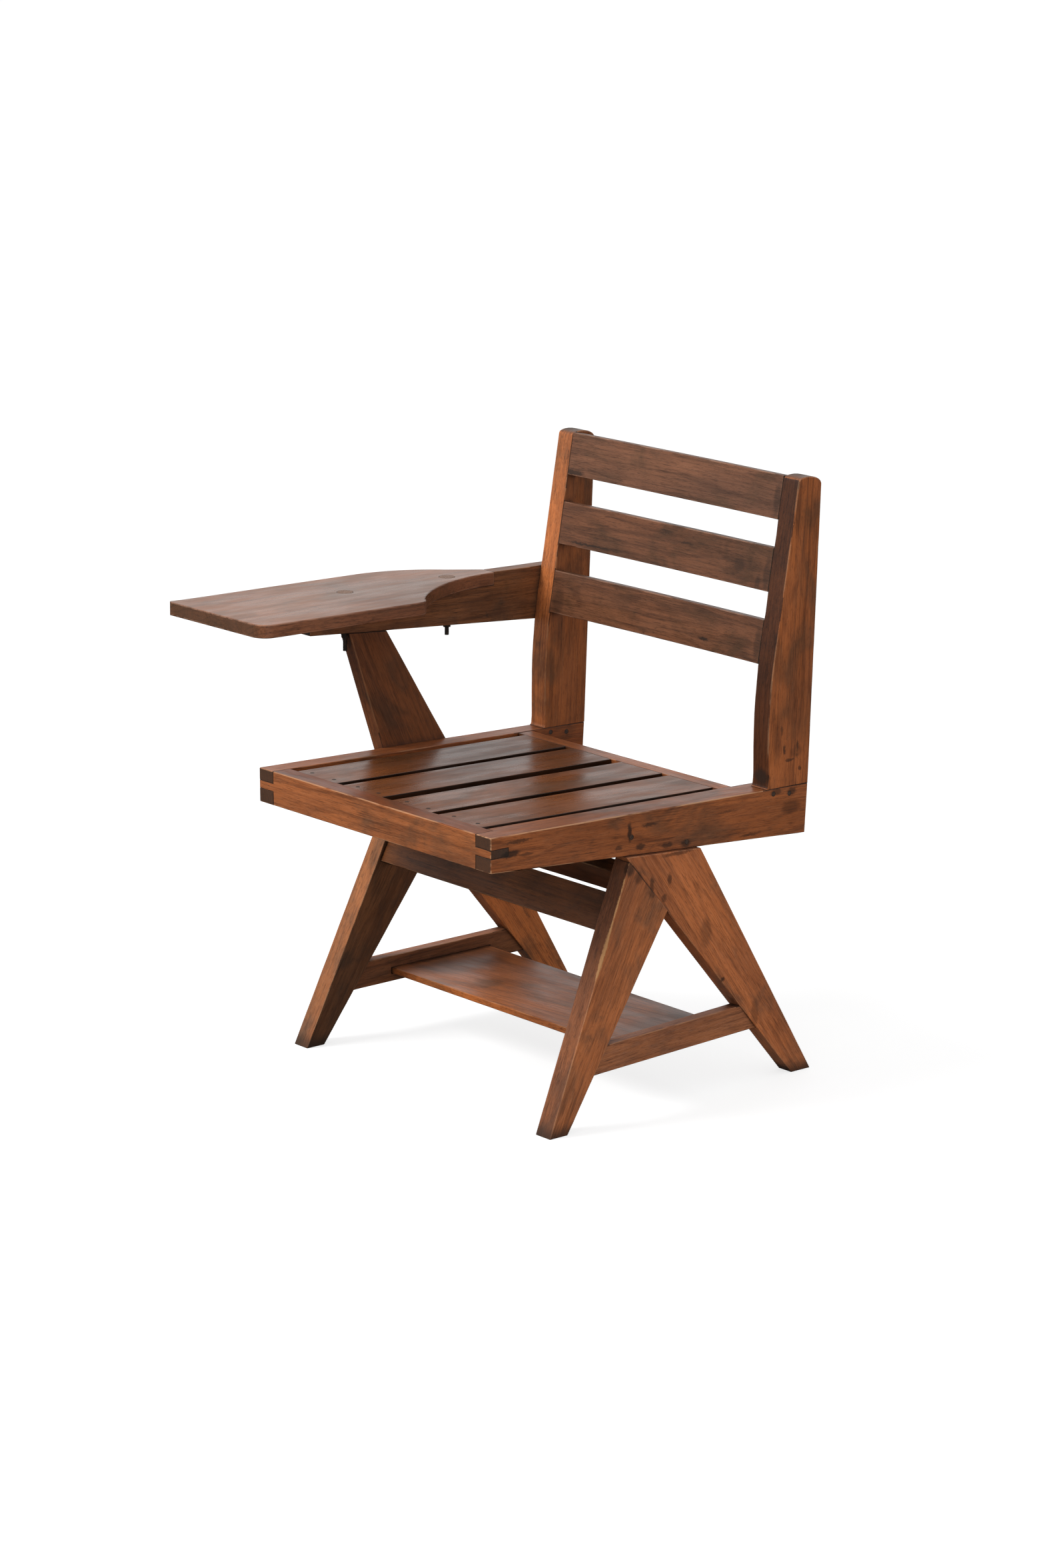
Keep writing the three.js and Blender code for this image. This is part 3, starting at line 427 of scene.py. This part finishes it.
SIDES = {"front": Vector((0, -1, 0)), "top": Vector((0, 0, 1)),
         "left": Vector((1, 0, 0)), "right": Vector((-1, 0, 0))}
# How far the free arrises are rubbed down to pale wood.
RUBBED = {"seat_rail_front": 0.5, "seat_rail_left": 0.65, "back_slat": 0.35, "writing_tablet": 0.3,
          "seat_slat": 0.0}
RUBBED_ELSEWHERE = 0.25


# ------------------------------------------------------------------ boards

def grain_axes(mesh):
    """The board's own axes, longest first, from how its surface is spread."""
    centres = np.array([f.center for f in mesh.polygons])
    areas = np.array([f.area for f in mesh.polygons])
    middle = (centres * areas[:, None]).sum(0) / areas.sum()
    corners = np.array([v.co for v in mesh.vertices])
    spread = np.zeros((3, 3))
    for face, area in zip(mesh.polygons, areas):
        points = corners[list(face.vertices)] - middle
        spread += area * (points.T @ points) / len(points)
    values, vectors = np.linalg.eigh(spread)
    axes = [vectors[:, i] for i in np.argsort(-values)]
    for axis in axes[:2]:
        axis *= np.sign(axis[np.argmax(np.abs(axis))])
    axes[2] = np.cross(axes[0], axes[1])
    return Vector(middle), [Vector(a) for a in axes]


def search_tree(mesh):
    """Finds the nearest point of a mesh quickly."""
    return BVHTree.FromPolygons([v.co[:] for v in mesh.vertices], [tuple(f.vertices) for f in mesh.polygons])


TREES = {name: search_tree(o.data) for name, o in nodes.items()}
BOXES = {name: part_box(name) for name in nodes}
JOINT_REACH = 0.7 * MM  # an arris with another piece this near is a joint, and stays crisp


def near_other(name, point):
    """Whether another CAD piece is within reach of a point on this one."""
    for other, tree in TREES.items():
        if other == name:
            continue
        low, high = BOXES[other]
        if any(point[i] < low[i] - JOINT_REACH or point[i] > high[i] + JOINT_REACH for i in range(3)):
            continue
        if tree.find_nearest(point, JOINT_REACH)[0] is not None:
            return True
    return False


def soften(mesh, strip):
    """Gives each corner of the mesh its normal: faces stay flat up to their arris, which alone is rounded."""
    count = len(mesh.polygons)
    normals = np.empty(3 * count)
    mesh.polygons.foreach_get("normal", normals)
    normals = normals.reshape(-1, 3)
    areas = np.empty(count)
    mesh.polygons.foreach_get("area", areas)
    flat = [not strip[i] and areas[i] > 1e-6 for i in range(count)]
    around = [[] for _ in mesh.vertices]
    for face in mesh.polygons:
        for v in face.vertices:
            around[v].append(face.index)

    def blend(v, normal, wanted, limit):
        picked = [i for i in around[v] if flat[i] == wanted and normals[i] @ normal > limit]
        return sum((areas[i] * normals[i] for i in picked), np.zeros(3)) if picked else None

    result = []
    for face in mesh.polygons:
        own = normals[face.index]
        for v in face.vertices:
            found = None
            if flat[face.index]:
                found = blend(v, own, True, 0.85)
            else:
                near = max((i for i in around[v] if flat[i]), key=lambda i: normals[i] @ own, default=None)
                if near is not None and normals[near] @ own > 0.4:
                    found = blend(v, normals[near], True, 0.85)
                if found is None:
                    found = blend(v, own, False, 0.4)
            found = own if found is None or np.linalg.norm(found) < 1e-12 else found
            result.append(found / max(np.linalg.norm(found), 1e-12))
    mesh.normals_split_custom_set(result)


def untangle(bm, strip):
    """Splits the many-sided faces into triangles, and turns over any triangle that lies the wrong way up."""
    bm.normal_update()
    wide = [f for f in bm.faces if len(f.verts) > 4]
    facing = {f: f.normal.copy() for f in wide}
    made = bmesh.ops.triangulate(bm, faces=wide, quad_method="BEAUTY", ngon_method="BEAUTY")
    parent = dict(made["face_map"])
    bm.normal_update()
    for face in made["faces"]:
        source = parent.get(face, face)
        if source in strip:
            strip.add(face)
        if source in facing and face.normal.dot(facing[source]) < 0:
            face.normal_flip()


SLICE = 16 * MM  # boards are cut across about this often, so that their arrises can be uneven
SLICE_CLEARANCE = 3  # no cut passes nearer to a corner than this many arris radii
SHARP = math.radians(25)
SHORTEST = {"writing_tablet": 0.9 * MM}  # shorter edges stay sharp; the tablet has many short ones
SHORTEST_ELSEWHERE = 1.9 * MM
ARRIS_REACH = 2.5  # how far from its arris a rounded point can lie, in radii


def arris_lines(name, sharp):
    """The two ends of each sharp edge, and 1 where it meets another piece or 0 where it is free."""
    lines = []
    for edge in sharp:
        a, b = edge.verts[0].co.copy(), edge.verts[1].co.copy()
        lines.append((a, b, 1.0 if near_other(name, (a + b) / 2) else 0.0))
    return lines


def slice_across(bm, middle, along, radius):
    """Cuts across the whole board, so that its long faces are made of short ones."""
    reach = [(v.co - middle).dot(along) for v in bm.verts]
    first, last = min(reach), max(reach)
    count = int((last - first) / SLICE)
    for i in range(1, count):
        cut = first + (last - first) * i / count
        if min(abs(r - cut) for r in reach) < SLICE_CLEARANCE * radius:
            continue
        bmesh.ops.bisect_plane(bm, geom=bm.verts[:] + bm.edges[:] + bm.faces[:],
                               plane_co=middle + along * cut, plane_no=along, dist=0.4 * MM)


def wear_arrises(strip, lines, radius, seed):
    """Draws the rounded faces back at joints, and wears them down unevenly elsewhere. Returns the
    corners at joints."""
    start = np.array([line[0] for line in lines])
    along = np.array([line[1] for line in lines]) - start
    length = (along ** 2).sum(1)
    joint = np.array([line[2] for line in lines])
    tight = set()
    for vert in {v for f in strip for v in f.verts}:
        p = np.array(vert.co)
        share = np.clip(((p - start) * along).sum(1) / length, 0, 1)
        closest = start + along * share[:, None]
        distance = np.linalg.norm(closest - p, axis=1)
        near = int(np.argmin(distance))
        if distance[near] > ARRIS_REACH * radius:
            continue
        target = Vector(closest[near])
        if joint[near]:
            vert.co = vert.co.lerp(target, 0.5)
            tight.add(vert)
            continue
        where = Vector(p) * 38.0 + Vector((seed, 0, 0))
        bite = max(0.0, noise.noise(where)) * 0.5 + max(0.0, noise.noise(where * 3.1)) * 0.35
        vert.co = vert.co.lerp(target, -bite)
    return tight


def paint_arrises(bm, strip, tight, along, rubbed):
    """Writes each face's wear, its share of end grain, and whether it is the seam of a joint."""
    wear_layer = bm.loops.layers.float.new("wear")
    end_layer = bm.loops.layers.float.new("end_grain")
    seam_layer = bm.loops.layers.float.new("seam")
    bm.normal_update()
    for face in bm.faces:
        joined = face in strip and 2 * sum(v in tight for v in face.verts) >= len(face.verts)
        worn = rubbed if face in strip and not joined else 0.0
        end = abs(face.normal.dot(along)) ** 4
        for loop in face.loops:
            loop[wear_layer] = worn
            loop[end_layer] = end
            loop[seam_layer] = 1.0 if joined else 0.0
        face.smooth = True


def put_in_order(elements, key):
    """Sorts points, edges or faces, whose order would otherwise differ from one run to the next."""
    elements.index_update()
    ranks = {e.index: rank for rank, e in enumerate(sorted(elements, key=key))}
    elements.sort(key=lambda e: ranks[e.index])
    elements.index_update()


def first_entry(table, name, otherwise):
    """The value of the first entry whose key the name starts with."""
    return next((value for key, value in table.items() if name.startswith(key)), otherwise)


def paint_board(mesh, name, middle, axes, seed):
    """Writes where each point lies along the grain, and each face's colour factors: the board's own tone with
    painted light and shade.
    """
    grain = mesh.attributes.new("grain", "FLOAT_VECTOR", "POINT")
    random.seed(seed)
    shift = Vector((random.uniform(0, 8), random.uniform(0, 2), random.uniform(0, 2)))
    places = []
    for v in mesh.vertices:
        d = v.co - middle
        places.extend((d.dot(axes[0]) + shift.x, d.dot(axes[1]) + shift.y, d.dot(axes[2]) + shift.z))
    grain.data.foreach_set("vector", places)
    tone_and_shade = mesh.attributes.new("tone_and_shade", "FLOAT_VECTOR", "CORNER")
    board_colour_and_shade = first_entry(BOARD_TONE_AND_SHADE, name, (1.0, 1.0, 1.0))
    corner_colour_and_shade = []
    for face in mesh.polygons:
        own = board_colour_and_shade
        for (key, side), factors in SIDE_LIGHT_AND_SHADE.items():
            if name.startswith(key) and face.normal.dot(SIDES[side]) > 0.7:
                own = tuple(a * b for a, b in zip(own, factors))
        corner_colour_and_shade.extend(own * face.loop_total)
    tone_and_shade.data.foreach_set("vector", corner_colour_and_shade)


def board(name, radius, seed):
    """A copy of a CAD board whose free arrises are rounded and worn, and whose joints stay tight."""
    source = nodes[name]
    middle, axes = grain_axes(source.data)
    bm = bmesh.new()
    bm.from_mesh(source.data)
    bmesh.ops.remove_doubles(bm, verts=bm.verts, dist=4e-6)
    bmesh.ops.dissolve_limit(bm, angle_limit=math.radians(0.6), verts=bm.verts, edges=bm.edges)
    slice_across(bm, middle, axes[0], radius)
    shortest = SHORTEST.get(name, SHORTEST_ELSEWHERE)
    sharp = [e for e in bm.edges if e.is_manifold and e.calc_face_angle_signed() > SHARP
             and e.calc_length() > shortest]
    lines = arris_lines(name, sharp)
    made = bmesh.ops.bevel(bm, geom=sharp, offset=radius, offset_type="OFFSET", segments=3, profile=0.5,
                           affect="EDGES", clamp_overlap=False, loop_slide=False)
    strip = set(made["faces"])
    tight = wear_arrises(strip, lines, radius, seed)
    untangle(bm, strip)
    paint_arrises(bm, strip, tight, axes[0], first_entry(RUBBED, name, RUBBED_ELSEWHERE))
    for face in bm.faces:
        face.tag = face in strip
    put_in_order(bm.verts, lambda v: v.co[:])
    put_in_order(bm.edges, lambda e: sorted(v.index for v in e.verts))
    put_in_order(bm.faces, lambda f: sorted(v.index for v in f.verts))
    strip_flags = [face.tag for face in bm.faces]
    mesh = bpy.data.meshes.new(name + "_look")
    bm.to_mesh(mesh)
    bm.free()
    soften(mesh, strip_flags)
    paint_board(mesh, name, middle, axes, seed)
    piece = bpy.data.objects.new(name + "_look", mesh)
    bpy.context.scene.collection.objects.link(piece)
    piece.data.materials.append(MATERIALS[slot_of[name]])
    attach(piece, "root")
    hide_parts(name)


# The radius of each board's arrises, in millimetres.
RADII = {"seat_rail": 1.2, "seat_slat": 0.9, "back_post": 1.5, "back_slat": 1.3, "front_leg": 1.2,
         "rear_leg": 1.2, "arm": 1.3, "writing_tablet": 1.8, "book_shelf": 1.1, "side_stretcher": 1.1,
         "front_cross": 1.1, "rear_cross": 1.1, "seat_cleat": 1.0}
FIRST_SEED = 11
for number, name in enumerate(sorted(nodes)):
    if slot_of[name] in ("steel", "plug_wood"):
        nodes[name].data.materials.clear()
        nodes[name].data.materials.append(MATERIALS[slot_of[name]])
        continue
    board(name, first_entry(RADII, name, None) * MM, FIRST_SEED + number)


# ------------------------------------------------------------------ floor, light and camera

def plain_material(name, colour, roughness):
    t = Tree(name)
    t.shader.inputs["Base Color"].default_value = (*colour, 1.0)
    t.shader.inputs["Roughness"].default_value = roughness
    t.shader.inputs["Specular IOR Level"].default_value = 0.1
    return t.material


floor_mesh = bpy.data.meshes.new("floor")
FLOOR_HALF = 40.0
floor_corners = [(x * FLOOR_HALF, y * FLOOR_HALF, 0) for x, y in ((-1, -1), (1, -1), (1, 1), (-1, 1))]
floor_mesh.from_pydata(floor_corners, [], [(0, 1, 2, 3)])
floor = bpy.data.objects.new("floor", floor_mesh)
floor.location.z = -0.2 * MM
paper = plain_material("floor_paper", (0.37, 0.37, 0.37), 0.9)
paper_shader = paper.node_tree.nodes["Principled BSDF"]
paper_shader.inputs["Emission Color"].default_value = (1.0, 1.0, 1.0, 1.0)
paper_shader.inputs["Emission Strength"].default_value = 0.75
floor.data.materials.append(paper)
floor.visible_diffuse = False
floor.visible_glossy = False
bpy.context.scene.collection.objects.link(floor)

# The camera sees a white backdrop. The chair is lit and mirrored by a softer room, dark below and bright
# above its horizon.
world = bpy.data.worlds.new("studio")
world.use_nodes = True
sky = world.node_tree
backdrop = sky.nodes["Background"]
backdrop.inputs["Color"].default_value = (1.0, 1.0, 1.0, 1.0)
backdrop.inputs["Strength"].default_value = 1.0
room = sky.nodes.new("ShaderNodeBackground")
direction = sky.nodes.new("ShaderNodeSeparateXYZ")
sky.links.new(sky.nodes.new("ShaderNodeTexCoord").outputs["Generated"], direction.inputs[0])
level = sky.nodes.new("ShaderNodeValToRGB")
level.color_ramp.elements[0].position = 0.40
level.color_ramp.elements[0].color = (0.10, 0.10, 0.10, 1.0)
level.color_ramp.elements[1].position = 1.0
level.color_ramp.elements[1].color = (0.55, 0.55, 0.55, 1.0)
for height, amount in ((0.50, 0.25), (0.56, 0.80), (0.70, 0.80)):
    stop = level.color_ramp.elements.new(height)
    stop.color = (amount, amount, amount, 1.0)
rise = sky.nodes.new("ShaderNodeMapRange")
rise.inputs["From Min"].default_value = -1.0
sky.links.new(direction.outputs[2], rise.inputs["Value"])
sky.links.new(rise.outputs[0], level.inputs[0])
sky.links.new(level.outputs[0], room.inputs["Color"])
chooser = sky.nodes.new("ShaderNodeMixShader")
sky.links.new(sky.nodes.new("ShaderNodeLightPath").outputs["Is Camera Ray"], chooser.inputs[0])
sky.links.new(room.outputs[0], chooser.inputs[1])
sky.links.new(backdrop.outputs[0], chooser.inputs[2])
sky.links.new(chooser.outputs[0], sky.nodes["World Output"].inputs[0])
bpy.context.scene.world = world


def softbox(name, place, target, size, power):
    light = bpy.data.lights.new(name, "AREA")
    light.shape = "RECTANGLE"
    light.size, light.size_y = size
    light.energy = power
    lamp = bpy.data.objects.new(name, light)
    lamp.location = place
    lamp.rotation_euler = (Vector(target) - Vector(place)).to_track_quat("-Z", "Y").to_euler()
    lamp.visible_camera = False
    lamp.visible_glossy = False
    bpy.context.scene.collection.objects.link(lamp)


softbox("key_light", (-1.5, -2.9, 3.0), (0, 0, 0.35), (1.8, 1.5), 150)
softbox("side_fill", (1.6, -0.7, 0.15), (0, 0, 0.15), (1.2, 0.6), 7)

# The camera's place and its own three axes.
camera_data = bpy.data.cameras.new("camera")
camera_data.lens = 111.93
camera_data.sensor_width = 36.0
camera_data.clip_end = 200.0
camera = bpy.data.objects.new("camera", camera_data)
right = Vector((0.63325941, 0.77393313, -0.0031668))
up = Vector((-0.18530052, 0.15558967, 0.97028634))
back = Vector((0.75142946, -0.61385615, 0.24193883))
camera.matrix_world = Matrix.Translation(Vector((4.9734, -4.0777, 1.9995)) + CHAIR_SHIFT) @ Matrix(
    (right, up, back)).transposed().to_4x4()
bpy.context.scene.collection.objects.link(camera)
bpy.context.scene.camera = camera
bpy.context.scene.view_settings.view_transform = "Standard"
